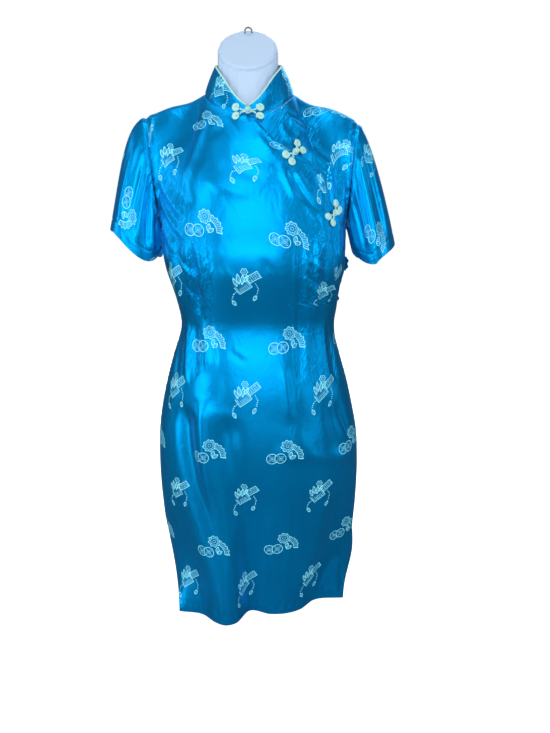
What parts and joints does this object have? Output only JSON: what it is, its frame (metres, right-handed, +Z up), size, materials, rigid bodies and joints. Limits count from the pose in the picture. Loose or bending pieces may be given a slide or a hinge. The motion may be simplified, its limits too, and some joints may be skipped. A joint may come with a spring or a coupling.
{
  "type": "cheongsam dress on a limbless dress form with a table stand",
  "caption": "Fitted short-sleeved cheongsam with stand collar, crossed front, frog fastenings and side slits, standing on a smooth limbless dress form on a pole and oval base.",
  "frame": {"origin": "centre of the base plate's underside, on the floor", "axes": "+Z up along the stand, -Y towards the dress's front, +X towards the right of someone who faces its front, where the crossed front closes"},
  "size_m": [0.4931, 0.2386, 1.0511],
  "materials": {
    "satin": "satin brocade, lined",
    "cord": "silky piping and frog cord",
    "plastic": "smooth, semi-matte",
    "steel": "brushed",
    "lacquer": "lacquered"
  },
  "bodies": {
    "root": {"front_panel": "satin", "yoke_panel": "satin", "back_panel": "satin", "sleeve_left": "satin", "sleeve_right": "satin", "collar": "satin", "side_tab": "satin", "collar_piping": "cord", "frog_neck_knot": "cord", "frog_neck_loop": "cord", "frog_chest_knot": "cord", "frog_chest_loop": "cord", "frog_side_knot": "cord", "frog_side_loop": "cord", "dress_form": "plastic", "form_eye": "steel", "stand_pole": "steel", "stand_base": "lacquer"}
  },
  "joints": []
}
